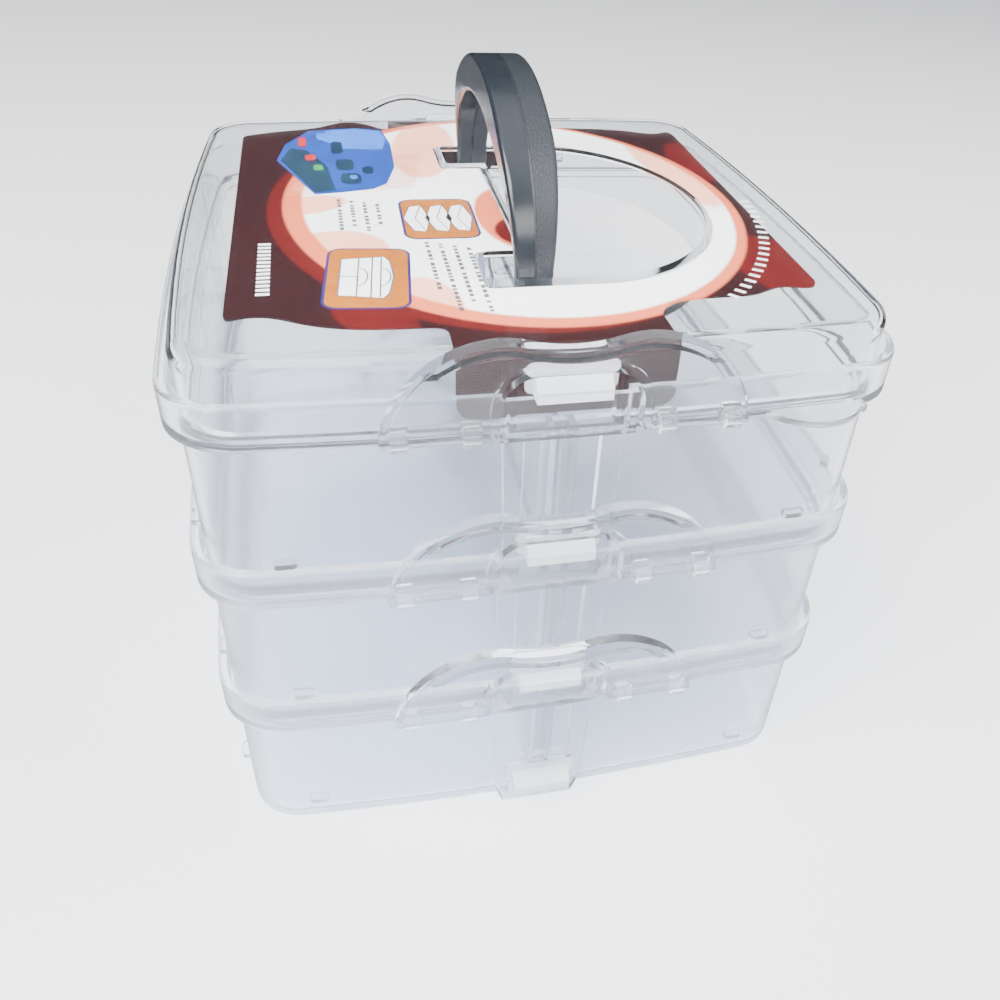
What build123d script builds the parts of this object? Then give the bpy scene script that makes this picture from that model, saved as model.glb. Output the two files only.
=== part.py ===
"""Three-tier stacking sewing box: clear trays, lid, folding handle, latches, dividers and card.

Millimetres, +Z up. The origin is the centre of the bottom tray's underside, +Y runs to the back.
"""
from build123d import *
import os

# --- stack -----------------------------------------------------------------------------------
tier_pitch = 38.2          # height that one tray adds to the stack
tier_names = ["bottom", "middle", "top"]
lid_base = tier_pitch * len(tier_names)

# --- plan outline, given at the outside of the rim -------------------------------------------
rim_half = 75.0            # centre to the middle of a side
side_bow = 2.8             # how far a side bows outwards
rim_corner = 15.0

# --- tray ------------------------------------------------------------------------------------
wall = 1.4
floor_thickness = 1.6
rim_wall = 1.8
rim_bottom = 37.2
rim_top = 46.2
body_inset = 2.7           # tray wall inside the rim's outer face
body_front = rim_half - body_inset
ledge_inset = 5.7          # inner edge of the ledge that carries the next tray
ledge_bottom = 36.0
base_round = 1.5
rim_round = 0.8
hollow_round = 2.0
join_depth = 70.0          # blocks on the front and back walls start here, inside the wall
room_depth = 68.0          # recesses are cut from here outwards
lug_place = 54.0
lug_front = 72.7
lug_size = (4.6, 2.9, 1.4)

# --- middle panel of the front and back walls ------------------------------------------------
panel_front = 74.4
panel_half = 12.0
panel_mid_half = 11.0
panel_foot_half = 9.0
panel_foot_height = 6.0
bulge_front = 76.4         # rim steps out here to take the panel of the tray above
bulge_half = 13.0
bulge_wall = 1.2

# --- catch, heights above the base of the piece that carries it --------------------------------
catch_bottom = 8.4
catch_top = 12.7
catch_half = 7.0
catch_front = 79.0
catch_lip = 10.6           # top of the catch's front face, below its sloped top
catch_slope_start = 76.9
pad_front = 75.3
pad_half = 8.8
pad_top = 15.2
pad_corner = 1.6
catch_corner = 0.6

# --- divider and its channels ----------------------------------------------------------------
channel_half = 1.5
channel_rib = 1.4
channel_depth = 66.2
divider_end = 69.0
divider_bead = 2.4
divider_bead_half = 1.25
divider_half = 0.7
divider_top = 35.4
divider_notch = (14.0, 4.5)  # half length and depth of the dip in its top edge

# --- latch and its hinge, heights above the base of the tray that carries it -------------------
hinge_front = 77.0
hinge_height = 39.6
hinge_radius = 1.2
hinge_clearance = 0.05
latch_back = 75.8
latch_skin = 1.4
latch_half = 35.0
window_half = 13.4
window_top = 51.9
window_corner = 7.0
window_bead = 1.8
bead_height = 1.2
edge_bead = 1.2
edge_height = 0.6
lip_thickness = 1.6
lip_depth = 2.8
lip_start = 53.5
rod_inner = 14.4
rod_outer = 34.8
clip_width = 3.0
clip_places = [18.5, 31.5]
clip_outer = 2.2
clip_mouth = 1.9
clip_gap = 0.4

# --- lifting tab of the top tray ---------------------------------------------------------------
tab_left = 40.0
tab_right = 62.0
tab_front = 79.6
tab_thickness = 1.4

# --- lid ---------------------------------------------------------------------------------------
lid_inset = 3.0
lid_height = 15.7
lid_skin = 1.4
lid_round = 3.0
lid_top = lid_base + lid_height
lid_panel_half = 11.0

# --- handle pocket in the lid --------------------------------------------------------------------
pivot_height = 125.5
pocket_reach = 49.5
pocket_end = 43.1
pocket_bend = 14.0         # the round end of the pocket starts here
pocket_floor = 119.2
pocket_skin = 1.3
pocket_side = 1.5          # straight side beside the middle of the handle
notch_side = -8.7          # the pocket widens here beside each handle foot
notch_start = 28.5
pocket_corner = 1.5
boss_radius = 2.75
boss_end = 46.0
stud_radius = 2.0
stud_clearance = 0.06
stud_end = 45.8

# --- handle --------------------------------------------------------------------------------------
foot_half = 4.0
grip_half = 5.8
foot_outer = 42.6
foot_inner = 39.4
foot_top = 129.7
arch_top = 162.3
arch_inner_top = 153.8
outer_shoulder = 28.0      # radius of the arch at its shoulders
inner_shoulder = 18.0
grip_round = 1.0
seam_width = 0.6
seam_depth = 0.3

# --- printed card ----------------------------------------------------------------------------------
card_thickness = 0.4
card_top = lid_top - lid_skin - 0.15
card_gap = 0.4
card_left = -60.5
card_right = 62.5
flap_left = -20.3
flap_right = 22.0
flap_face = 70.2
flap_bottom = 115.9
flap_bend = 1.6
flap_corner = 3.5
fold_start = 67.0          # the flat of the card reaches the flaps here

os.makedirs("parts", exist_ok=True)


def finish(part, name):
    """Name a finished piece and write it."""
    part.label = name
    export_step(part, "parts/" + name + ".step")


def bowed_square(level, inset):
    """Square with sides bowed outwards and round corners, drawn inside the rim's outer face."""
    half = rim_half - inset
    tip = half - side_bow
    with BuildSketch(Plane.XY.offset(level)) as outline:
        with BuildLine():
            ThreePointArc((-tip, -tip), (0, -half), (tip, -tip))
            ThreePointArc((tip, -tip), (half, 0), (tip, tip))
            ThreePointArc((tip, tip), (0, half), (-tip, tip))
            ThreePointArc((-tip, tip), (-half, 0), (-tip, -tip))
        make_face()
        fillet(outline.vertices(), radius=rim_corner - inset)
    return outline.sketch


def facing_box(width, near, far, low, high):
    """Block centred on x = 0 with its y faces at -far and -near, used on the front wall."""
    with BuildPart() as block:
        with BuildSketch(Plane.XY.offset(low)):
            with Locations((0, -(near + far) / 2)):
                Rectangle(width, far - near)
        extrude(amount=high - low)
    return block.part


def catch_block():
    """Pad and sloped catch of a front wall, with the base of its piece at z = 0."""
    with BuildPart() as catch:
        with BuildSketch(Plane.XZ.offset(body_front - 1)):
            with Locations((0, (catch_bottom + pad_top) / 2)):
                RectangleRounded(2 * pad_half, pad_top - catch_bottom, pad_corner)
        extrude(amount=pad_front - body_front + 1)
        with BuildSketch(Plane.YZ.offset(-catch_half)):
            with BuildLine():
                Polyline(
                    (-pad_front + 0.5, catch_bottom),
                    (-catch_front, catch_bottom),
                    (-catch_front, catch_lip),
                    (-catch_slope_start, catch_top),
                    (-pad_front + 0.5, catch_top),
                    close=True,
                )
            make_face()
        extrude(amount=2 * catch_half)
        front_face = catch.faces().filter_by(Axis.Y).sort_by(Axis.Y)[0]
        fillet(front_face.edges().filter_by(Axis.Z), radius=catch_corner)
    return catch.part


def both_walls(shape):
    """The shape on the front wall and the same shape turned round to the back wall."""
    return [shape, shape.rotate(Axis.Z, 180)]


def panel_block():
    """Middle panel of a tray's front wall, narrower towards the foot."""
    with BuildPart() as panel:
        with BuildSketch(Plane.XZ.offset(join_depth)):
            with BuildLine():
                Polyline(
                    (-panel_foot_half, 0), (panel_foot_half, 0),
                    (panel_mid_half, panel_foot_height), (panel_half, rim_bottom),
                    (-panel_half, rim_bottom), (-panel_mid_half, panel_foot_height),
                    close=True,
                )
            make_face()
        extrude(amount=panel_front - join_depth)
    return panel.part


def clip():
    """One open ring that holds the latch rod, centred on x = 0 on the front rim."""
    bore = hinge_radius + hinge_clearance
    with BuildPart() as ring:
        with BuildSketch(Plane.YZ.offset(-clip_width / 2)):
            with Locations((-hinge_front, hinge_height)):
                Circle(clip_outer)
            with Locations((-(hinge_front + rim_half - 1) / 2, hinge_height)):
                Rectangle(hinge_front - rim_half + 1, 2 * clip_outer)
            with Locations((-hinge_front, hinge_height)):
                Circle(bore, mode=Mode.SUBTRACT)
            with Locations((-hinge_front, hinge_height - clip_outer)):
                Rectangle(clip_mouth, 2 * clip_outer, mode=Mode.SUBTRACT)
        extrude(amount=clip_width)
    return ring.part


def tray_hollow():
    """Room inside a tray, round along its bottom edge."""
    depth = ledge_bottom - floor_thickness
    with BuildPart() as hollow:
        extrude(bowed_square(floor_thickness, body_inset + wall), amount=depth)
        fillet(hollow.faces().sort_by(Axis.Z)[0].edges(), radius=hollow_round)
    return hollow.part


def tray_shape():
    """A tray with its base at z = 0."""
    with BuildPart() as tray:
        extrude(bowed_square(0, body_inset), amount=rim_bottom + 0.5)
        fillet(tray.faces().sort_by(Axis.Z)[0].edges(), radius=base_round)
        extrude(bowed_square(rim_bottom, 0), amount=rim_top - rim_bottom)
        fillet(tray.faces().sort_by(Axis.Z)[-1].edges(), radius=rim_round)

        bulge = facing_box(2 * bulge_half, join_depth, bulge_front, rim_bottom, rim_top)
        for side in both_walls(bulge):
            add(side)
        for side in both_walls(panel_block()):
            add(side)

        socket_depth = rim_top - tier_pitch
        extrude(bowed_square(tier_pitch, rim_wall), amount=socket_depth, mode=Mode.SUBTRACT)
        extrude(bowed_square(ledge_bottom, ledge_inset), amount=5, mode=Mode.SUBTRACT)
        add(tray_hollow(), mode=Mode.SUBTRACT)

        gap_width = 2 * (bulge_half - bulge_wall)
        bulge_gap = facing_box(
            gap_width, room_depth, bulge_front - bulge_wall, tier_pitch, rim_top + 1)
        recess_width = 2 * (panel_foot_half - wall)
        recess = facing_box(
            recess_width, room_depth, panel_front - wall, floor_thickness, ledge_bottom)
        for gap in both_walls(bulge_gap) + both_walls(recess):
            add(gap, mode=Mode.SUBTRACT)

        rib_length = panel_front - channel_depth - 0.5
        rib_middle = (panel_front - 0.5 + channel_depth) / 2
        with BuildSketch(Plane.XY.offset(floor_thickness - 0.2)):
            for x in (-1, 1):
                for y in (-1, 1):
                    with Locations((x * (channel_half + channel_rib / 2), y * rib_middle)):
                        Rectangle(channel_rib, rib_length)
        extrude(amount=ledge_bottom - floor_thickness + 0.4)

        for side in both_walls(catch_block()):
            add(side)
        ring = clip()
        for place in clip_places:
            for x in (-place, place):
                for side in both_walls(ring.moved(Location((x, 0, 0)))):
                    add(side)

        lug = lug_shape()
        for turn in range(4):
            add(lug.rotate(Axis.Z, 90 * turn))
    return tray.part


def lug_shape():
    """Pair of small lugs on the front wall that stop the tray on the rim below."""
    width, length, height = lug_size
    middle = lug_front - length / 2
    with BuildPart() as lugs:
        with BuildSketch(Plane.XY.offset(catch_bottom + 0.2)):
            with Locations((-lug_place, -middle), (lug_place, -middle)):
                RectangleRounded(width, length, 1.0)
        extrude(amount=height)
    return lugs.part


def lifting_tab():
    """Thumb tab under the front rim, round on the left and square on the right."""
    back = rim_half - 2.0
    with BuildPart() as tab:
        with BuildSketch(Plane.XY.offset(rim_bottom)):
            with BuildLine():
                swell = ThreePointArc(
                    (tab_left, -back), (tab_left + 9, -tab_front), (tab_right - 2, -back - 2.6))
                Line(swell @ 1, (tab_right, -back - 2.0))
                Line((tab_right, -back - 2.0), (tab_right, -back + 1.2))
                Line((tab_right, -back + 1.2), (tab_left, -back))
            make_face()
        extrude(amount=tab_thickness)
    return tab.part


def divider_shape():
    """Upright divider with a thicker bead down each end, base of its tray at z = 0."""
    height = divider_top - floor_thickness
    with BuildPart() as divider:
        with BuildSketch(Plane.XY.offset(floor_thickness)):
            Rectangle(2 * divider_half, 2 * divider_end)
            for y in (-1, 1):
                with Locations((0, y * (divider_end - divider_bead / 2))):
                    Rectangle(2 * divider_bead_half, divider_bead)
        extrude(amount=height)
        upright = divider.edges().filter_by(Axis.Z).sort_by(Axis.Y)
        fillet(upright[:2] + upright[-2:], radius=0.5)
        with BuildSketch(Plane.YZ.offset(-2)):
            with Locations((0, divider_top)):
                Ellipse(divider_notch[0], divider_notch[1])
        extrude(amount=4, mode=Mode.SUBTRACT)
    return divider.part


def latch_face():
    """Wing-shaped outline of the latch as x and height, without its window."""
    hump = (17.5, 58.2)
    dip_edge = (8.5, 57.9)
    with BuildSketch() as face:
        with BuildLine():
            wing = TangentArc((-latch_half, hinge_height), (-hump[0], hump[1]), tangent=(0.155, 1))
            crest = TangentArc(wing @ 1, (-dip_edge[0], dip_edge[1]), tangent=wing % 1)
            dip = TangentArc(crest @ 1, dip_edge, tangent=crest % 1)
            far_crest = TangentArc(dip @ 1, hump, tangent=dip % 1)
            TangentArc(far_crest @ 1, (latch_half, hinge_height), tangent=far_crest % 1)
            Line((latch_half, hinge_height), (-latch_half, hinge_height))
        make_face()
    return face.sketch


def window_face(grow):
    """Arched window of the latch as x and height, open at the bottom, larger all round by grow."""
    half = window_half + grow
    top = window_top + grow
    low = hinge_height - 6
    with BuildSketch() as face:
        with Locations((0, (low + top) / 2)):
            Rectangle(2 * half, top - low)
        fillet(face.vertices().group_by(Axis.Y)[-1], radius=window_corner + grow)
    return face.sketch


def latch_shape():
    """Front latch with its wings up, on a tray whose base is at z = 0."""
    outline = latch_face()
    back_plane = Plane.XZ.offset(latch_back)
    with BuildPart() as latch:
        with BuildSketch(back_plane):
            add(outline)
        extrude(amount=latch_skin)
        with BuildSketch(back_plane):
            add(outline)
            offset(outline, amount=-edge_bead, mode=Mode.SUBTRACT)
        extrude(amount=latch_skin + edge_height)
        with BuildSketch(back_plane):
            add(outline)
            offset(outline, amount=-lip_thickness, mode=Mode.SUBTRACT)
            with Locations((0, lip_start + 10)):
                Rectangle(2 * latch_half, 20, mode=Mode.INTERSECT)
        extrude(amount=latch_skin + lip_depth)
        with BuildSketch(back_plane):
            add(window_face(window_bead))
            add(outline, mode=Mode.INTERSECT)
        extrude(amount=latch_skin + bead_height)
        with BuildSketch(back_plane):
            add(window_face(0))
        extrude(amount=latch_skin + 5, mode=Mode.SUBTRACT)
        for side in (-1, 1):
            for place in clip_places:
                gap = facing_box(
                    clip_width + 2 * clip_gap, latch_back - 3, latch_back + 9,
                    hinge_height - 4, hinge_height + clip_outer + clip_gap)
                add(gap.moved(Location((side * place, 0, 0))), mode=Mode.SUBTRACT)
            with BuildSketch(Plane.YZ.offset(side * (rod_inner + rod_outer) / 2)):
                with Locations((-hinge_front, hinge_height)):
                    Circle(hinge_radius)
            extrude(amount=(rod_outer - rod_inner) / 2, both=True)
    return latch.part


def pocket_face(level, grow):
    """D-shaped outline of the handle pocket, widened beside each handle foot."""
    end = pocket_end + grow
    side = pocket_side - grow
    notch = notch_side - grow
    start = notch_start - grow
    with BuildSketch(Plane.XY.offset(level)) as face:
        with BuildLine():
            reach = pocket_reach + grow - pocket_bend
            EllipticalCenterArc((pocket_bend, 0), reach, end, -90, arc_size=180)
            Polyline((pocket_bend, end), (notch, end), (notch, start), (side, start))
            Line((side, start), (side, -start))
            Polyline((side, -start), (notch, -start), (notch, -end), (pocket_bend, -end))
        make_face()
        fillet(face.vertices().group_by(Axis.X)[0], radius=pocket_corner)
    return face.sketch


def lid_hollow():
    """Room under the lid, round along its top edge."""
    with BuildPart() as hollow:
        extrude(bowed_square(lid_base, lid_inset + lid_skin), amount=lid_height - lid_skin)
        fillet(hollow.faces().sort_by(Axis.Z)[-1].edges(), radius=lid_round - lid_skin)
    return hollow.part


def lid_shape():
    """Lid with its skirt in the top tray's rim, and the pocket that the handle folds into."""
    with BuildPart() as lid:
        extrude(bowed_square(lid_base, lid_inset), amount=lid_height)
        fillet(lid.faces().sort_by(Axis.Z)[-1].edges(), radius=lid_round)
        panel_top = lid_top - lid_round
        panel = facing_box(2 * lid_panel_half, room_depth, panel_front, lid_base, panel_top)
        for side in both_walls(panel):
            add(side)
        add(lid_hollow(), mode=Mode.SUBTRACT)
        recess_width = 2 * (lid_panel_half - wall)
        recess = facing_box(
            recess_width, room_depth, panel_front - wall, lid_base, panel_top - wall)
        for side in both_walls(recess):
            add(side, mode=Mode.SUBTRACT)
        for side in both_walls(catch_block().moved(Location((0, 0, lid_base)))):
            add(side)

        floor_bottom = pocket_floor - pocket_skin
        extrude(pocket_face(floor_bottom, pocket_skin), amount=lid_top - 0.5 - floor_bottom)
        for side in (-1, 1):
            with BuildSketch(Plane.XZ.offset(side * pocket_end)):
                with Locations((0, pivot_height)):
                    Circle(boss_radius)
            extrude(amount=side * (boss_end - pocket_end))
        extrude(pocket_face(pocket_floor, 0), amount=20, mode=Mode.SUBTRACT)
        with BuildSketch(Plane.XZ.offset(-boss_end - 1)):
            with Locations((0, pivot_height)):
                Circle(stud_radius + stud_clearance)
        extrude(amount=2 * boss_end + 2, mode=Mode.SUBTRACT)
    return lid.part


def arch_line(half, top, shoulder):
    """Arch of three arcs on the y and height axes, from foot to foot, upright at both feet."""
    rise = top - foot_top
    crown = (2 * half * shoulder - half**2 - rise**2) / (2 * (shoulder - rise))
    crown_centre = Vector(0, top - crown)
    shoulder_centre = Vector(shoulder - half, foot_top)
    join = crown_centre + (shoulder_centre - crown_centre).normalized() * crown
    with BuildLine() as arch:
        near = TangentArc((-half, foot_top), join, tangent=(0, 1))
        middle = TangentArc(near @ 1, (-join.X, join.Y), tangent=near % 1)
        TangentArc(middle @ 1, (half, foot_top), tangent=middle % 1)
    return arch.line


def arch_face():
    """Outline of the handle seen from the side, as y and height."""
    with BuildSketch() as arch:
        with BuildLine():
            add(arch_line(foot_outer, arch_top, outer_shoulder))
            add(arch_line(foot_inner, arch_inner_top, inner_shoulder))
            for side in (-1, 1):
                Polyline(
                    (side * foot_outer, foot_top), (side * foot_outer, pivot_height),
                    (side * foot_inner, pivot_height), (side * foot_inner, foot_top),
                )
        make_face()
    return arch.sketch


def handle_shape():
    """Arched carrying handle, standing up, with a foot and a pivot stud at each end."""
    shoulder = arch_top - 10
    arch = arch_face()
    with BuildPart() as handle:
        with BuildSketch(Plane.YZ.offset(-grip_half)):
            add(arch)
        extrude(amount=2 * grip_half)
        with BuildSketch(Plane.XZ.offset(-stud_end)):
            with BuildLine():
                Polyline(
                    (-foot_half, pivot_height - 5), (foot_half, pivot_height - 5),
                    (foot_half, foot_top + 2), (grip_half, shoulder), (grip_half, arch_top + 1),
                    (-grip_half, arch_top + 1), (-grip_half, shoulder), (-foot_half, foot_top + 2),
                    close=True,
                )
            make_face()
        extrude(amount=2 * stud_end, mode=Mode.INTERSECT)
        long_edges = handle.edges().filter_by(lambda edge: abs(edge.center().X) > foot_half - 0.5)
        fillet(long_edges.filter_by(lambda edge: edge.center().Z > foot_top), radius=grip_round)
        for side in (-1, 1):
            with BuildSketch(Plane.XZ.offset(side * foot_inner)):
                with Locations((0, pivot_height)):
                    Circle(foot_half)
            extrude(amount=side * (foot_outer - foot_inner))
            with BuildSketch(Plane.XZ.offset(side * foot_outer)):
                with Locations((0, pivot_height)):
                    Circle(stud_radius)
            extrude(amount=side * (stud_end - foot_outer))
        with BuildSketch(Plane.YZ.offset(-seam_width / 2)):
            add(arch)
            offset(arch, amount=-seam_depth, mode=Mode.SUBTRACT)
            with Locations((0, foot_top + arch_top / 2)):
                Rectangle(2 * stud_end, arch_top, mode=Mode.INTERSECT)
        extrude(amount=seam_width, mode=Mode.SUBTRACT)
    return handle.part


def card_face():
    """Outline of the flat of the card, with a wavy front and back edge on each side of its flap."""
    with BuildSketch(Plane.XY.offset(card_top - card_thickness)) as face:
        with BuildLine():
            Line((flap_left, -fold_start), (flap_left, -62))
            left_wave = Spline(
                (flap_left, -62), (-24.5, -59.5), (-37.5, -58.6), (-46, -55.8),
                (-53, -52.3), (-58, -52.6), (card_left, -50.5),
                tangents=((0, 1), (0, 1)),
            )
            left_back = Spline(
                (card_left, 54), (-58, 57), (-50, 60), (-40, 63.5), (-26, 65), (flap_left, 66.5),
                tangents=((0, 1), (0, 1)),
            )
            Line(left_wave @ 1, left_back @ 0)
            Line((flap_left, 66.5), (flap_left, fold_start))
            Line((flap_left, fold_start), (flap_right, fold_start))
            Line((flap_right, fold_start), (flap_right, 65))
            right_back = Spline(
                (flap_right, 65), (27, 61.5), (36, 60.5), (50, 57.5), (59, 55.5), (card_right, 52),
                tangents=((0, -1), (0, -1)),
            )
            right_wave = Spline(
                (card_right - 2.5, -47.5), (58, -50.4), (52.5, -49.6), (45, -52.2), (38, -52.9),
                (31, -53.2), (26.5, -54.3), (23.4, -56.6), (flap_right, -60),
            )
            Line(right_back @ 1, right_wave @ 0)
            Line((flap_right, -60), (flap_right, -fold_start))
            Line((flap_right, -fold_start), (flap_left, -fold_start))
        make_face()
    return face.sketch


def card_shape():
    """Printed card under the lid's top, folded down inside the front and back walls."""
    bend_inner = flap_bend - card_thickness
    bend_start = flap_face - flap_bend
    with BuildPart() as card:
        extrude(card_face(), amount=card_thickness)
        with BuildSketch(Plane.YZ.offset(flap_left)):
            with BuildLine():
                Line((0.1 - fold_start, card_top), (-bend_start, card_top))
                CenterArc((-bend_start, card_top - flap_bend), flap_bend, 90, 90)
                Line((-flap_face, card_top - flap_bend), (-flap_face, flap_bottom))
                Line((-flap_face, flap_bottom), (-flap_face + card_thickness, flap_bottom))
                Line((-flap_face + card_thickness, flap_bottom),
                     (-flap_face + card_thickness, card_top - flap_bend))
                CenterArc((-bend_start, card_top - flap_bend), bend_inner, 180, -90)
                Line((-bend_start, card_top - card_thickness), (0.1 - fold_start, card_top - card_thickness))
                Line((0.1 - fold_start, card_top - card_thickness), (0.1 - fold_start, card_top))
            make_face()
            mirror(about=Plane.YZ)
        extrude(amount=flap_right - flap_left)
        corners = card.edges().filter_by(Axis.Y).group_by(Axis.Z)[0]
        fillet(corners, radius=flap_corner)
        window = pocket_face(card_top - 5, pocket_skin + card_gap)
        extrude(window, amount=10, mode=Mode.SUBTRACT)
    return card.part


tray = tray_shape()
divider = divider_shape()
front_latch = latch_shape()
back_latch = front_latch.rotate(Axis.Z, 180)
for tier, tier_name in enumerate(tier_names):
    lift = Location((0, 0, tier_pitch * tier))
    with BuildPart() as placed_tray:
        add(tray.moved(lift))
        if tier_name == "top":
            add(lifting_tab().moved(lift))
    finish(placed_tray.part, "tray_" + tier_name)
    finish(divider.moved(lift), "divider_" + tier_name)
    finish(front_latch.moved(lift), "latch_front_" + tier_name)
    finish(back_latch.moved(lift), "latch_back_" + tier_name)
finish(lid_shape(), "lid")
finish(handle_shape(), "handle")
finish(card_shape(), "printed_card")
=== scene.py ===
"""Looks of the three-tier stacking sewing box: clear trays and lid, grey handle, printed card."""

import math

import bpy
import numpy as np
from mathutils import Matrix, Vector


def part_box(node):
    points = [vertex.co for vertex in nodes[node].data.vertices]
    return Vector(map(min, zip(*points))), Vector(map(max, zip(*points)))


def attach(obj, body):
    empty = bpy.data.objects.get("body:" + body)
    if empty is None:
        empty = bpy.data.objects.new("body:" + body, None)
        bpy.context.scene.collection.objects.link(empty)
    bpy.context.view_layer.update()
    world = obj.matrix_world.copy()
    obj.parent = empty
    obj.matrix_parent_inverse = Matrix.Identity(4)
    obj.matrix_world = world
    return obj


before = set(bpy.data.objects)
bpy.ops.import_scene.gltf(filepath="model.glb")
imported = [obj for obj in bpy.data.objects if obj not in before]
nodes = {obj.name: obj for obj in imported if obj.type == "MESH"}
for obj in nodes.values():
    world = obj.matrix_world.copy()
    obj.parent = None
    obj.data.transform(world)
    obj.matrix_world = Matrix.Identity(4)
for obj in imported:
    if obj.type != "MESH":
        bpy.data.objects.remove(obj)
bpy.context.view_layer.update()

TIERS = ("bottom", "middle", "top")

# Print colours, linear.
MAROON = (0.018, 0.0006, 0.0008, 1)
DEEP_MAROON = (0.010, 0.0004, 0.0006, 1)
RED = (0.070, 0.0014, 0.0010, 1)
SALMON = (0.60, 0.125, 0.052, 1)
PEACH = (0.84, 0.40, 0.27, 1)
WHITE = (0.92, 0.92, 0.91, 1)
ORANGE = (0.36, 0.105, 0.001, 1)
NAVY = (0.006, 0.005, 0.085, 1)
BLUE = (0.004, 0.038, 0.22, 1)
SKY = (0.035, 0.18, 0.62, 1)
TEAL = (0.002, 0.014, 0.030, 1)
INK = (0.075, 0.065, 0.07, 1)


# --- node helpers ------------------------------------------------------------------------------
class Tree:
    """A material's node tree with short calls for the nodes that the finishes use."""

    def __init__(self, name):
        self.material = bpy.data.materials.new(name)
        self.material.use_nodes = True
        self.nodes = self.material.node_tree.nodes
        self.nodes.clear()
        self.output = self.nodes.new("ShaderNodeOutputMaterial")
        self.where = None

    def link(self, source, target):
        self.material.node_tree.links.new(source, target)

    def feed(self, socket, value):
        """Link a socket, or set a plain number or colour on it."""
        if isinstance(value, bpy.types.NodeSocket):
            self.link(value, socket)
        else:
            socket.default_value = value

    def place(self):
        """Object coordinates, which are the row's own metres."""
        if self.where is None:
            self.where = self.nodes.new("ShaderNodeTexCoord").outputs["Object"]
        return self.where

    def axes(self):
        """The x, y and z of object coordinates."""
        split = self.nodes.new("ShaderNodeSeparateXYZ")
        self.link(self.place(), split.inputs[0])
        return split.outputs

    def noise(self, scale, detail=3.0, rough=0.5, stretch=None):
        node = self.nodes.new("ShaderNodeTexNoise")
        node.inputs["Scale"].default_value = scale
        node.inputs["Detail"].default_value = detail
        node.inputs["Roughness"].default_value = rough
        where = self.place()
        if stretch is not None:
            mapping = self.nodes.new("ShaderNodeMapping")
            mapping.inputs["Scale"].default_value = stretch
            self.link(where, mapping.inputs["Vector"])
            where = mapping.outputs["Vector"]
        self.link(where, node.inputs["Vector"])
        return node.outputs["Fac"]

    def math(self, operation, a, b=0.0, c=0.0, clamp=False):
        node = self.nodes.new("ShaderNodeMath")
        node.operation = operation
        node.use_clamp = clamp
        for socket, value in zip(node.inputs, (a, b, c)):
            self.feed(socket, value)
        return node.outputs[0]

    def spread(self, value, low, high, to_low, to_high):
        """Carry a value from one range to another, clamped."""
        node = self.nodes.new("ShaderNodeMapRange")
        for socket, number in zip(node.inputs, (value, low, high, to_low, to_high)):
            self.feed(socket, number)
        return node.outputs[0]

    def mix(self, factor, a, b):
        node = self.nodes.new("ShaderNodeMix")
        node.data_type = "RGBA"
        self.feed(node.inputs["Factor"], factor)
        self.feed(node.inputs[6], a)
        self.feed(node.inputs[7], b)
        return node.outputs[2]

    def bump(self, height, distance, normal=None):
        node = self.nodes.new("ShaderNodeBump")
        node.inputs["Distance"].default_value = distance
        self.link(height, node.inputs["Height"])
        if normal is not None:
            self.link(normal, node.inputs["Normal"])
        return node.outputs["Normal"]

    def oval(self, x, y, middle, reach, turn=0.0, edge=0.0004):
        """1 inside an ellipse and 0 outside, in metres; turn leans it anticlockwise, in degrees."""
        cos, sin = math.cos(math.radians(turn)), math.sin(math.radians(turn))
        u = self.math("SUBTRACT", x, middle[0])
        v = self.math("SUBTRACT", y, middle[1])
        along = self.math("ADD", self.math("MULTIPLY", u, cos), self.math("MULTIPLY", v, sin))
        across = self.math("SUBTRACT", self.math("MULTIPLY", v, cos), self.math("MULTIPLY", u, sin))
        a = self.math("POWER", self.math("ABSOLUTE", self.math("DIVIDE", along, reach[0])), 2.0)
        b = self.math("POWER", self.math("ABSOLUTE", self.math("DIVIDE", across, reach[1])), 2.0)
        far = self.math("SQRT", self.math("ADD", a, b))
        soft = edge / min(reach)
        return self.spread(far, 1.0 - soft, 1.0 + soft, 1.0, 0.0)

    def shader(self, **sockets):
        node = self.nodes.new("ShaderNodeBsdfPrincipled")
        for name, value in sockets.items():
            self.feed(node.inputs[name.replace("_", " ")], value)
        return node

    def show(self, node):
        self.link(node.outputs[0], self.output.inputs["Surface"])
        return self.material


# --- finishes ------------------------------------------------------------------------------------
def clear_plastic(name, tint, rough, wave, clarity, bend):
    """Clear polypropylene: cool tint, flow ripples, a fine haze, and lamps shine through it."""
    tree = Tree(name)
    ripples = tree.noise(55.0, 2.0, 0.45, stretch=(1.0, 1.0, 0.35))
    haze = tree.noise(420.0, 4.0, 0.6)
    darker = [c * 0.97 for c in tint[:3]] + [1]
    shade = tree.mix(tree.spread(ripples, 0.35, 0.7, 0.0, 1.0), tint, darker)
    roughness = tree.spread(haze, 0.3, 0.7, rough, rough + 0.07)
    node = tree.shader(Base_Color=shade, Roughness=roughness, Normal=tree.bump(ripples, wave))
    node.inputs["Transmission Weight"].default_value = clarity
    node.inputs["IOR"].default_value = bend
    path = tree.nodes.new("ShaderNodeLightPath")
    hole = tree.nodes.new("ShaderNodeBsdfTransparent")
    hole.inputs["Color"].default_value = tint
    both = tree.nodes.new("ShaderNodeMixShader")
    tree.link(path.outputs["Is Shadow Ray"], both.inputs["Fac"])
    tree.link(node.outputs[0], both.inputs[1])
    tree.link(hole.outputs[0], both.inputs[2])
    return tree.show(both)


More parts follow.
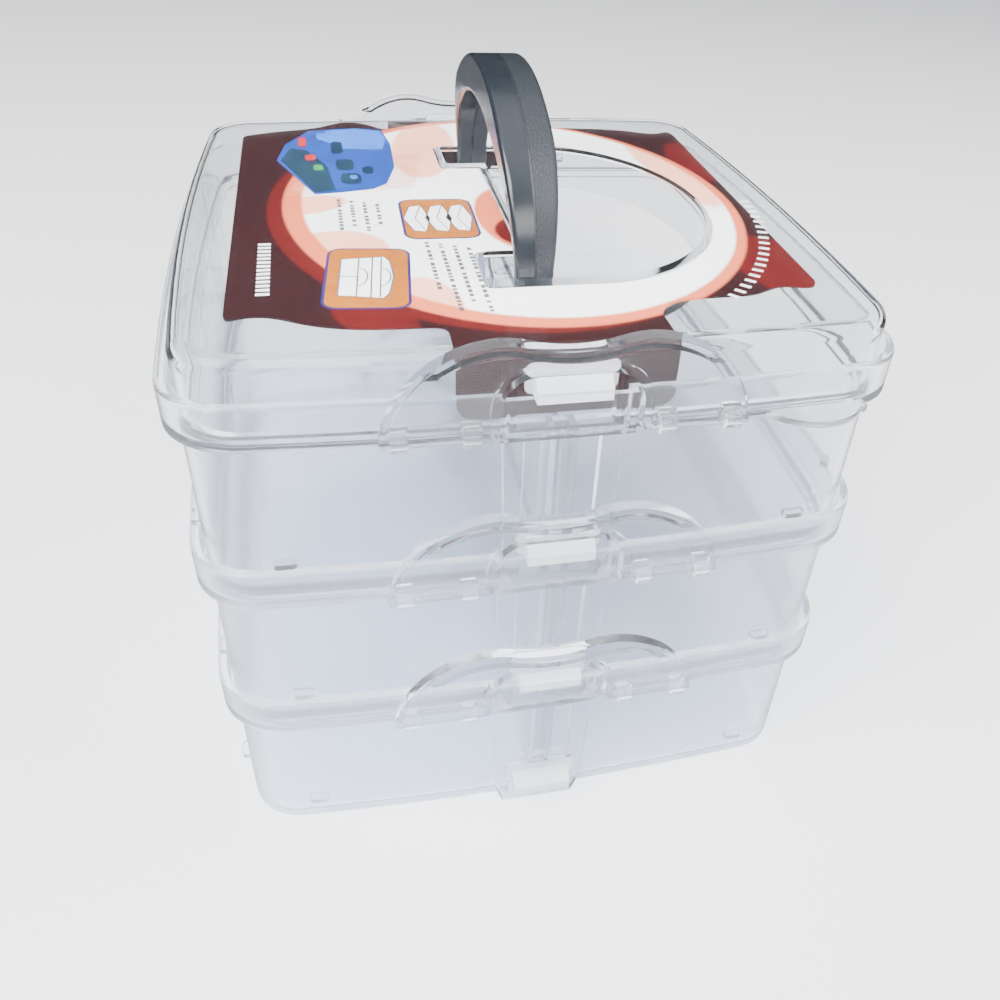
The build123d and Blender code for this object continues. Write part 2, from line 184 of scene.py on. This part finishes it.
def slate_handle():
    """Slate-grey moulded plastic, glossy left of the seam and finely grained right of it."""
    tree = Tree("slate_handle")
    x = tree.axes()[0]
    side = tree.spread(x, -0.0003, 0.0003, 0.0, 1.0)
    grain = tree.noise(2600.0, 2.0, 0.6)
    flow = tree.noise(90.0, 3.0, 0.5)
    tone = tree.spread(flow, 0.3, 0.7, 0.0, 1.0)
    colour = tree.mix(tone, (0.013, 0.0165, 0.021, 1), (0.020, 0.024, 0.030, 1))
    smooth = tree.spread(flow, 0.3, 0.7, 0.17, 0.27)
    grained = tree.spread(grain, 0.3, 0.7, 0.36, 0.52)
    extra = tree.math("MULTIPLY", side, tree.math("SUBTRACT", grained, smooth))
    roughness = tree.math("ADD", smooth, extra)
    height = tree.math("MULTIPLY", grain, side)
    normal = tree.bump(height, 0.00022, normal=tree.bump(flow, 0.00018))
    return tree.show(tree.shader(Base_Color=colour, Roughness=roughness, Normal=normal))


def card_print():
    """Printed card: maroon ground, red patches, salmon ring and a white disc with peach shapes."""
    tree = Tree("card_print")
    x, y, z = tree.axes()
    cloud = tree.noise(35.0, 4.0, 0.6)
    fibre = tree.noise(1500.0, 3.0, 0.6)
    colour = tree.mix(cloud, DEEP_MAROON, MAROON)
    for middle, reach, turn in (
        ((0.0560, -0.0400), (0.0105, 0.0170), 8), ((-0.0330, -0.0560), (0.0060, 0.0110), 35),
        ((0.0600, 0.0300), (0.0060, 0.0160), 0),
    ):
        colour = tree.mix(tree.oval(x, y, middle, reach, turn), colour, RED)
    colour = tree.mix(tree.oval(x, y, (0.0015, 0.0005), (0.0550, 0.0650)), colour, RED)
    colour = tree.mix(tree.oval(x, y, (0.0045, 0.0030), (0.0545, 0.0657)), colour, SALMON)
    disc = tree.oval(x, y, (0.0056, 0.0040), (0.0512, 0.0628))
    inner = WHITE
    for middle, reach, turn in (
        ((-0.0450, 0.0030), (0.0100, 0.0055), 20), ((-0.0375, -0.0215), (0.0100, 0.0085), -25),
        ((-0.0215, -0.0490), (0.0055, 0.0110), 12), ((0.0290, -0.0330), (0.0190, 0.0058), 34),
        ((-0.0130, 0.0440), (0.0085, 0.0240), -8), ((0.0510, 0.0250), (0.0060, 0.0300), 6),
    ):
        inner = tree.mix(tree.oval(x, y, middle, reach, turn), inner, PEACH)
    inner = tree.mix(tree.oval(x, y, (0.0020, -0.0070), (0.0085, 0.0190)), inner, SALMON)
    inner = tree.mix(tree.oval(x, y, (0.0030, -0.0160), (0.0065, 0.0085)), inner, RED)
    flat = tree.spread(z, 0.1270, 0.1274, 0.0, 1.0)
    colour = tree.mix(flat, (0.012, 0.0007, 0.0010, 1), colour)
    colour = tree.mix(tree.math("MULTIPLY", disc, flat), colour, inner)
    roughness = tree.spread(fibre, 0.3, 0.7, 0.30, 0.42)
    normal = tree.bump(fibre, 0.00002)
    node = tree.shader(Base_Color=colour, Roughness=roughness, Normal=normal)
    node.inputs["Specular IOR Level"].default_value = 0.15
    return tree.show(node)


def ink(name, light, dark, scale=260.0):
    """Printed ink: two close tones in soft clouds, slightly glossy."""
    tree = Tree(name)
    cloud = tree.spread(tree.noise(scale, 3.0, 0.6), 0.35, 0.65, 0.0, 1.0)
    roughness = tree.spread(cloud, 0.0, 1.0, 0.28, 0.40)
    return tree.show(tree.shader(Base_Color=tree.mix(cloud, light, dark), Roughness=roughness))


def floor_finish():
    """Pale floor that looks dimmer in mirror reflections, as if it ended just outside the view."""
    tree = Tree("floor_paint")
    cloud = tree.noise(6.0, 3.0, 0.5)
    colour = tree.mix(cloud, (0.93, 0.935, 0.945, 1), (0.95, 0.955, 0.96, 1))
    pale = tree.shader(Base_Color=colour, Roughness=0.6)
    dim = tree.shader(Base_Color=(0.12, 0.125, 0.135, 1), Roughness=0.6)
    path = tree.nodes.new("ShaderNodeLightPath")
    direct = tree.math("SUBTRACT", 1.0, path.outputs["Is Transmission Ray"])
    mirrored = tree.math("MULTIPLY", path.outputs["Is Glossy Ray"], direct)
    both = tree.nodes.new("ShaderNodeMixShader")
    tree.link(mirrored, both.inputs["Fac"])
    tree.link(pale.outputs[0], both.inputs[1])
    tree.link(dim.outputs[0], both.inputs[2])
    return tree.show(both)


def give(node_name, material):
    data = nodes[node_name].data
    data.materials.clear()
    data.materials.append(material)


# Name, tint, roughness, ripple height, clarity and refraction.
tray_plastic = clear_plastic("clear_tray", (0.905, 0.928, 0.970, 1), 0.20, 0.0003, 0.955, 1.34)
top_plastic = clear_plastic("clear_tray_top", (0.925, 0.944, 0.975, 1), 0.10, 0.0003, 0.975, 1.27)
lid_plastic = clear_plastic("clear_lid", (0.955, 0.965, 0.98, 1), 0.01, 0.00012, 0.996, 1.19)
latch_plastic = clear_plastic("clear_latch", (0.93, 0.945, 0.965, 1), 0.02, 0.00015, 0.994, 1.20)
divider_plastic = clear_plastic("clear_divider", (0.86, 0.88, 0.92, 1), 0.16, 0.0003, 0.92, 1.38)
for tier in TIERS:
    give("tray_" + tier, top_plastic if tier == "top" else tray_plastic)
    give("divider_" + tier, divider_plastic)
    for side in ("front", "back"):
        give(f"latch_{side}_{tier}", latch_plastic)
give("lid", lid_plastic)
give("handle", slate_handle())
give("printed_card", card_print())


# --- surfaces ------------------------------------------------------------------------------------
def surface(name, points, faces, material):
    """Mesh of the given points and faces, as an object at the origin."""
    mesh = bpy.data.meshes.new(name)
    mesh.from_pydata(points.tolist(), [], faces.tolist())
    mesh.update()
    mesh.materials.append(material)
    piece = bpy.data.objects.new(name, mesh)
    bpy.context.scene.collection.objects.link(piece)
    return piece


def printed(name, points, faces, material):
    """Thin ink mesh that lies on the card and moves with the lid."""
    piece = surface(name, points, faces, material)
    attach(piece, "lid")
    return piece


CARD_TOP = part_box("printed_card")[1][2]
LAYER = 0.00002


def spokes(count):
    """Triangles from point 0 to each pair of neighbours on a closed ring of points 1 to count."""
    around = np.arange(count)
    return np.column_stack([np.zeros(count, int), 1 + around, 1 + (around + 1) % count])


def fan(outline, level, middle=None):
    """Flat shape: a fan of triangles from its middle to an outline of x and y, in row metres."""
    outline = np.asarray(outline, float)
    centre = outline.mean(0) if middle is None else np.asarray(middle, float)
    flat = np.vstack([centre[None], outline])
    points = np.column_stack([flat, np.full(len(flat), CARD_TOP + level * LAYER)])
    return points, spokes(len(outline))


def stroke(line, width, level, closed=False):
    """Flat strip of even width along a line of x and y points: each point moved half the width
    to both sides of the local direction."""
    line = np.asarray(line, float)
    if closed:
        ahead = np.roll(line, -1, 0) - np.roll(line, 1, 0)
    else:
        ahead = np.gradient(line, axis=0)
    ahead /= np.linalg.norm(ahead, axis=1, keepdims=True)
    side = np.column_stack([-ahead[:, 1], ahead[:, 0]]) * width / 2
    flat = np.vstack([line + side, line - side])
    points = np.column_stack([flat, np.full(len(flat), CARD_TOP + level * LAYER)])
    count = len(line)
    first = np.arange(count if closed else count - 1)
    after = (first + 1) % count
    faces = np.column_stack([first, first + count, after + count, after])
    return points, faces


def joined(shapes):
    """One set of points and faces from several; four-sided faces are cut into triangles."""
    points, faces, start = [], [], 0
    for shape_points, shape_faces in shapes:
        if shape_faces.shape[1] == 4:
            shape_faces = np.vstack([shape_faces[:, [0, 1, 2]], shape_faces[:, [0, 2, 3]]])
        points.append(shape_points)
        faces.append(shape_faces + start)
        start += len(shape_points)
    return np.vstack(points), np.vstack(faces)


def rounded(middle, size, corner, turn=0.0, steps=10):
    """Outline of a rectangle with round corners: four quarter circles joined by straight sides."""
    angle = np.radians(np.linspace(0, 90, steps))
    half = np.array(size) / 2 - corner
    parts = []
    for k, (sx, sy) in enumerate(((1, 1), (-1, 1), (-1, -1), (1, -1))):
        bow = angle + k * math.pi / 2
        x = sx * half[0] + corner * np.cos(bow)
        y = sy * half[1] + corner * np.sin(bow)
        parts.append(np.column_stack([x, y]))
    return turned(np.vstack(parts), middle, turn)


def turned(points, middle, turn):
    """Points turned about the origin by an angle in degrees, then moved to their middle."""
    cos, sin = math.cos(math.radians(turn)), math.sin(math.radians(turn))
    points = np.asarray(points, float)
    x = points[:, 0] * cos - points[:, 1] * sin
    y = points[:, 0] * sin + points[:, 1] * cos
    return np.column_stack([x, y]) + np.array(middle)


white_ink = ink("white_ink", WHITE, (0.82, 0.82, 0.83, 1))
orange_ink = ink("orange_ink", ORANGE, (0.31, 0.085, 0.001, 1))
navy_ink = ink("navy_ink", NAVY, (0.012, 0.010, 0.12, 1))
grey_ink = ink("grey_ink", INK, (0.11, 0.10, 0.11, 1))
blue_ink = ink("blue_ink", BLUE, (0.005, 0.045, 0.30, 1), 120.0)
sky_ink = ink("sky_ink", SKY, (0.02, 0.12, 0.50, 1), 120.0)
teal_ink = ink("teal_ink", TEAL, (0.004, 0.028, 0.05, 1), 120.0)
salmon_ink = ink("salmon_ink", SALMON, PEACH)
red_ink = ink("red_ink", (0.45, 0.02, 0.02, 1), (0.35, 0.012, 0.012, 1))
green_ink = ink("green_ink", (0.04, 0.26, 0.07, 1), (0.025, 0.20, 0.05, 1))


def icon_tile(name, middle, size, turn):
    """Orange tile with round corners and a navy border."""
    printed(name + "_border", *fan(rounded(middle, size, 0.0032, turn), 1, middle), navy_ink)
    inner = (size[0] - 0.0011, size[1] - 0.0011)
    printed(name + "_tile", *fan(rounded(middle, inner, 0.0027, turn), 2, middle), orange_ink)


def box_icon():
    """Line drawing of the closed box, its top towards +x: a white silhouette with grey outlines."""
    middle, turn = (-0.0333, -0.0371), -5
    icon_tile("box_icon", middle, (0.0172, 0.0285), turn)
    body = np.array([(-0.0056, -0.0085), (0.0032, -0.0098), (0.0044, -0.0075), (0.0052, 0.0),
                     (0.0044, 0.0075), (0.0032, 0.0098), (-0.0056, 0.0085)])
    printed("box_icon_body", *fan(turned(body, middle, turn), 3, middle), white_ink)
    lines = [stroke(turned(body, middle, turn), 0.00035, 4, closed=True)]
    for level in (-0.0020, 0.0008, 0.0026):
        rung = np.array([(level, -0.0093), (level, 0.0093)])
        lines.append(stroke(turned(rung, middle, turn), 0.0003, 4))
    angle = np.linspace(0, math.pi, 14)
    for level in (-0.0020, 0.0026):
        latch = np.column_stack([level + 0.0020 * np.sin(angle), 0.0042 * np.cos(angle)])
        lines.append(stroke(turned(latch, middle, turn), 0.0003, 4))
    post = np.array([(-0.0056, 0.0), (-0.0020, 0.0)])
    lines.append(stroke(turned(post, middle, turn), 0.0003, 4))
    printed("box_icon_lines", *joined(lines), grey_ink)


def trays_icon():
    """Three trays drawn one above the other, apart, each a white lozenge with grey outlines."""
    middle, turn = (-0.0152, -0.0069), -1
    icon_tile("trays_icon", middle, (0.0172, 0.0243), turn)
    lozenge = np.array([(0.0026, 0.0), (0.0012, 0.0080), (-0.0016, 0.0072), (-0.0034, 0.0),
                        (-0.0016, -0.0072), (0.0012, -0.0080)])
    shapes, lines = [], []
    for level in (-0.0046, 0.0004, 0.0052):
        centre = turned([(level, 0.0)], middle, turn)[0]
        outline = turned(lozenge, centre, turn)
        shapes.append(fan(outline, 3, centre))
        lines.append(stroke(outline, 0.00028, 4, closed=True))
        fold = turned([(0.0012, 0.0080), (-0.0008, 0.0), (0.0012, -0.0080)], centre, turn)
        lines.append(stroke(fold, 0.00025, 4))
    printed("trays_icon_shapes", *joined(shapes), white_ink)
    printed("trays_icon_lines", *joined(lines), grey_ink)


def small_print():
    """Rows of short dashes that stand for print, each row along y, with larger white dashes down
    the left edge and along an arc of an ellipse on the right."""
    row_pitch, row_slope, gap, word_gap = 0.0029, 0.0012, 0.00055, 0.0009
    blocks = (
        # left row, top, bottom, and how much shorter its first row is
        (-0.0372, 0.0065, -0.0085, 0.0),
        (-0.0196, -0.0205, -0.0490, 0.010),
    )
    marks = []
    random = np.random.default_rng(7)
    for first_x, top, bottom, shorter in blocks:
        for row in range(4):
            x = first_x + row * row_pitch
            y = top - row_slope * row
            end = bottom - random.uniform(0.0, 0.006)
            if row == 0:
                end += shorter
            while y > end:
                length = random.uniform(0.0008, 0.0016)
                marks.append(stroke([(x, y), (x, y - length)], 0.0009, 1))
                y -= length + gap
                if random.random() < 0.22:
                    y -= word_gap
    printed("small_print", *joined(marks), grey_ink)
    marks = []
    for k in range(14):
        y = -0.0185 - k * 0.00185
        marks.append(stroke([(-0.0536, y), (-0.0536, y - 0.0011)], 0.0026, 1))
    for k in range(19):
        t = math.radians(-4 - 2.75 * k)
        x, y = 0.0045 + 0.0585 * math.cos(t), 0.0035 + 0.0705 * math.sin(t)
        place = np.array((x, y))
        step = np.array([math.sin(t) * 0.0010, -math.cos(t) * 0.0012])
        marks.append(stroke([place - step / 2, place + step / 2], 0.0024, 1))
    printed("pale_print", *joined(marks), white_ink)


def patches(level, places):
    """Several round-cornered patches, each given by its middle and its size."""
    return joined([fan(rounded(m, s, min(s) * 0.45), level, m) for m, s in places])


def box_picture():
    """Small picture of a blue box with a dark open side, over a shadow of fine stripes."""
    stripes = []
    for k in range(24):
        y = 0.0100 + k * 0.00105
        start, end = (-0.0490 + 0.0003 * k, y), (-0.0185 + 0.0002 * k, y + 0.004)
        stripes.append(stroke([start, end], 0.00035, 1))
    printed("picture_shadow", *joined(stripes), salmon_ink)
    outline = np.array([(-0.0515, 0.0350), (-0.0425, 0.0100), (-0.0360, 0.0110), (-0.0285, 0.0130),
                        (-0.0250, 0.0165), (-0.0220, 0.0290), (-0.0215, 0.0480), (-0.0230, 0.0600),
                        (-0.0300, 0.0625), (-0.0430, 0.0600), (-0.0495, 0.0480)])
    printed("picture_box", *fan(outline, 2), blue_ink)
    lid = np.array([(-0.0345, 0.0440), (-0.0240, 0.0430), (-0.0225, 0.0520), (-0.0235, 0.0590),
                    (-0.0300, 0.0615), (-0.0385, 0.0600), (-0.0400, 0.0520)])
    printed("picture_lid", *fan(lid, 3), sky_ink)
    side = np.array([(-0.0505, 0.0350), (-0.0425, 0.0115), (-0.0375, 0.0125), (-0.0390, 0.0300),
                     (-0.0440, 0.0430), (-0.0480, 0.0450)])
    printed("picture_side", *fan(side, 3), teal_ink)
    dips = patches(4, (
        ((-0.0345, 0.0310), (0.0045, 0.0085)), ((-0.0335, 0.0205), (0.0050, 0.0080)),
        ((-0.0290, 0.0265), (0.0026, 0.0052)), ((-0.0360, 0.0450), (0.0030, 0.0100))))
    printed("picture_dips", *dips, teal_ink)
    red = patches(5, (
        ((-0.0430, 0.0370), (0.0028, 0.0048)), ((-0.0450, 0.0500), (0.0022, 0.0080))))
    printed("picture_red", *red, red_ink)
    printed("picture_green", *fan(rounded((-0.0412, 0.0290), (0.0024, 0.0044), 0.001), 5), green_ink)
    gleam = patches(5, (
        ((-0.0328, 0.0215), (0.0018, 0.0030)), ((-0.0400, 0.0545), (0.0020, 0.0060))))
    printed("picture_gleam", *gleam, sky_ink)


box_icon()
trays_icon()
small_print()
box_picture()


def frost(name, cover):
    """Whitish frosted skin that hides a share of what lies behind it."""
    tree = Tree(name)
    grain = tree.noise(1800.0, 3.0, 0.6)
    cloud = tree.noise(60.0, 3.0, 0.5)
    colour = tree.mix(cloud, (0.88, 0.91, 0.95, 1), (0.95, 0.96, 0.98, 1))
    node = tree.shader(Base_Color=colour, Roughness=tree.spread(grain, 0.3, 0.7, 0.35, 0.6))
    node.inputs["Alpha"].default_value = cover
    tree.link(tree.bump(grain, 0.00005), node.inputs["Normal"])
    return tree.show(node)


def pocket_frost():
    """Frosted floor of the handle pocket: a half ellipse closed by its straight side, and a
    rectangle beside each handle foot."""
    height, bend_start, reach, half = 0.11923, 0.014, 0.0352, 0.0428
    straight, foot_side, foot_start = 0.0018, -0.0084, 0.0288
    level = (height - CARD_TOP) / LAYER
    angle = np.linspace(-math.pi / 2, math.pi / 2, 48)
    bowl = np.column_stack([bend_start + reach * np.cos(angle), half * np.sin(angle)])
    bowl = np.vstack([bowl, [(straight, half), (straight, -half)]])
    shapes = [fan(bowl, level, (0.02, 0.0))]
    for side in (-1, 1):
        low, high = sorted((side * foot_start, side * half))
        foot = [(foot_side, low), (straight, low), (straight, high), (foot_side, high)]
        shapes.append(fan(foot, level))
    piece = surface("pocket_frost", *joined(shapes), frost("pocket_frost", 0.75))
    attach(piece, "lid")


def catch_frost(body, base, material):
    """Frosted skin over the front and back catches of a piece: a round-cornered pad, and a bar
    whose front face, slope and top follow one profile between two flat ends."""
    pad_face, bar_face, slope_start, half = -0.07533, -0.07902, -0.07691, 0.00702
    pad = rounded((0.0, base + 0.0118), (0.0174, 0.0066), 0.0015)
    pad = np.column_stack([pad[:, 0], np.full(len(pad), pad_face), pad[:, 1]])
    pad_points = np.vstack([pad.mean(0)[None], pad])
    pad_faces = spokes(len(pad))
    profile = np.array([(pad_face, 0.0084), (bar_face, 0.0084), (bar_face, 0.01062),
                        (slope_start, 0.01272), (pad_face, 0.01272)])
    left = np.column_stack([np.full(len(profile), -half), profile[:, 0], base + profile[:, 1]])
    right = left * (-1, 1, 1)
    first = np.arange(4)
    bar_faces = np.column_stack([first, first + 5, first + 6, first + 1])
    ends = np.array([(0, 1, 2), (0, 2, 3), (0, 3, 4), (5, 7, 6), (5, 8, 7), (5, 9, 8)])
    bar = np.vstack([left, right])
    front = [(pad_points, pad_faces), (bar, bar_faces), (bar, ends)]
    back = [(points * (-1, -1, 1), faces) for points, faces in front]
    piece = surface("catch_frost_" + body, *joined(front + back), material)
    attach(piece, body)


pocket_frost()
catch_skin = frost("catch_frost", 0.28)
for tier in TIERS:
    catch_frost("tray_" + tier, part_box("tray_" + tier)[0][2], catch_skin)
catch_frost("lid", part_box("lid")[0][2], frost("lid_catch_frost", 0.45))


# --- floor, light and camera ---------------------------------------------------------------------
def studio_floor():
    """Floor: a wide flat square that faces up."""
    points = np.array([(-9, -9, 0), (9, -9, 0), (9, 9, 0), (-9, 9, 0)])
    surface("studio_floor", points, np.array([[0, 1, 2, 3]]), floor_finish())


def soft_light(name, place, aim, size, power):
    lamp = bpy.data.lights.new(name, "AREA")
    lamp.shape = "RECTANGLE"
    lamp.size, lamp.size_y = size
    lamp.energy = power
    holder = bpy.data.objects.new(name, lamp)
    bpy.context.scene.collection.objects.link(holder)
    holder.location = place
    direction = np.array(aim) - np.array(place)
    flat = math.hypot(direction[0], direction[1])
    tilt, turn = math.atan2(flat, -direction[2]), math.atan2(-direction[0], direction[1])
    holder.rotation_euler = (tilt, 0, turn)


def studio():
    """World that is white straight overhead and nearly black below 46 degrees above the horizon,
    with soft lights round the box."""
    world = bpy.data.worlds.new("studio_air")
    world.use_nodes = True
    tree = world.node_tree
    background = tree.nodes["Background"]
    background.inputs["Strength"].default_value = 1.0
    coordinates = tree.nodes.new("ShaderNodeTexCoord")
    split = tree.nodes.new("ShaderNodeSeparateXYZ")
    rise = tree.nodes.new("ShaderNodeMapRange")
    blend = tree.nodes.new("ShaderNodeMix")
    blend.data_type = "RGBA"
    blend.inputs[6].default_value = (0.035, 0.04, 0.05, 1)
    blend.inputs[7].default_value = (2.6, 2.68, 2.8, 1)
    tree.links.new(coordinates.outputs["Generated"], split.inputs[0])
    tree.links.new(split.outputs["Z"], rise.inputs["Value"])
    rise.inputs["From Min"].default_value = 0.72
    rise.inputs["From Max"].default_value = 1.0
    tree.links.new(rise.outputs["Result"], blend.inputs["Factor"])
    tree.links.new(blend.outputs[2], background.inputs["Color"])
    bpy.context.scene.world = world
    soft_light("key_panel", (-0.60, -0.45, 1.00), (0, 0, 0.05), (0.9, 0.9), 48.0)
    soft_light("side_panel", (0.95, -0.25, 0.75), (0, 0, 0.05), (0.6, 0.8), 15.0)
    soft_light("front_panel", (0.1, -1.2, 0.7), (0, 0, 0.05), (1.1, 0.5), 16.0)


def camera():
    lens = bpy.data.cameras.new("view_camera")
    lens.lens = 33.36
    lens.sensor_width = 36.0
    lens.shift_x = -0.0486
    lens.shift_y = -0.0196
    lens.clip_start = 0.01
    holder = bpy.data.objects.new("view_camera", lens)
    bpy.context.scene.collection.objects.link(holder)
    holder.location = (-0.04054, -0.21373, 0.20990)
    holder.rotation_euler = [math.radians(a) for a in (53.314, -3.312, -12.705)]
    bpy.context.scene.camera = holder


studio_floor()
studio()
camera()
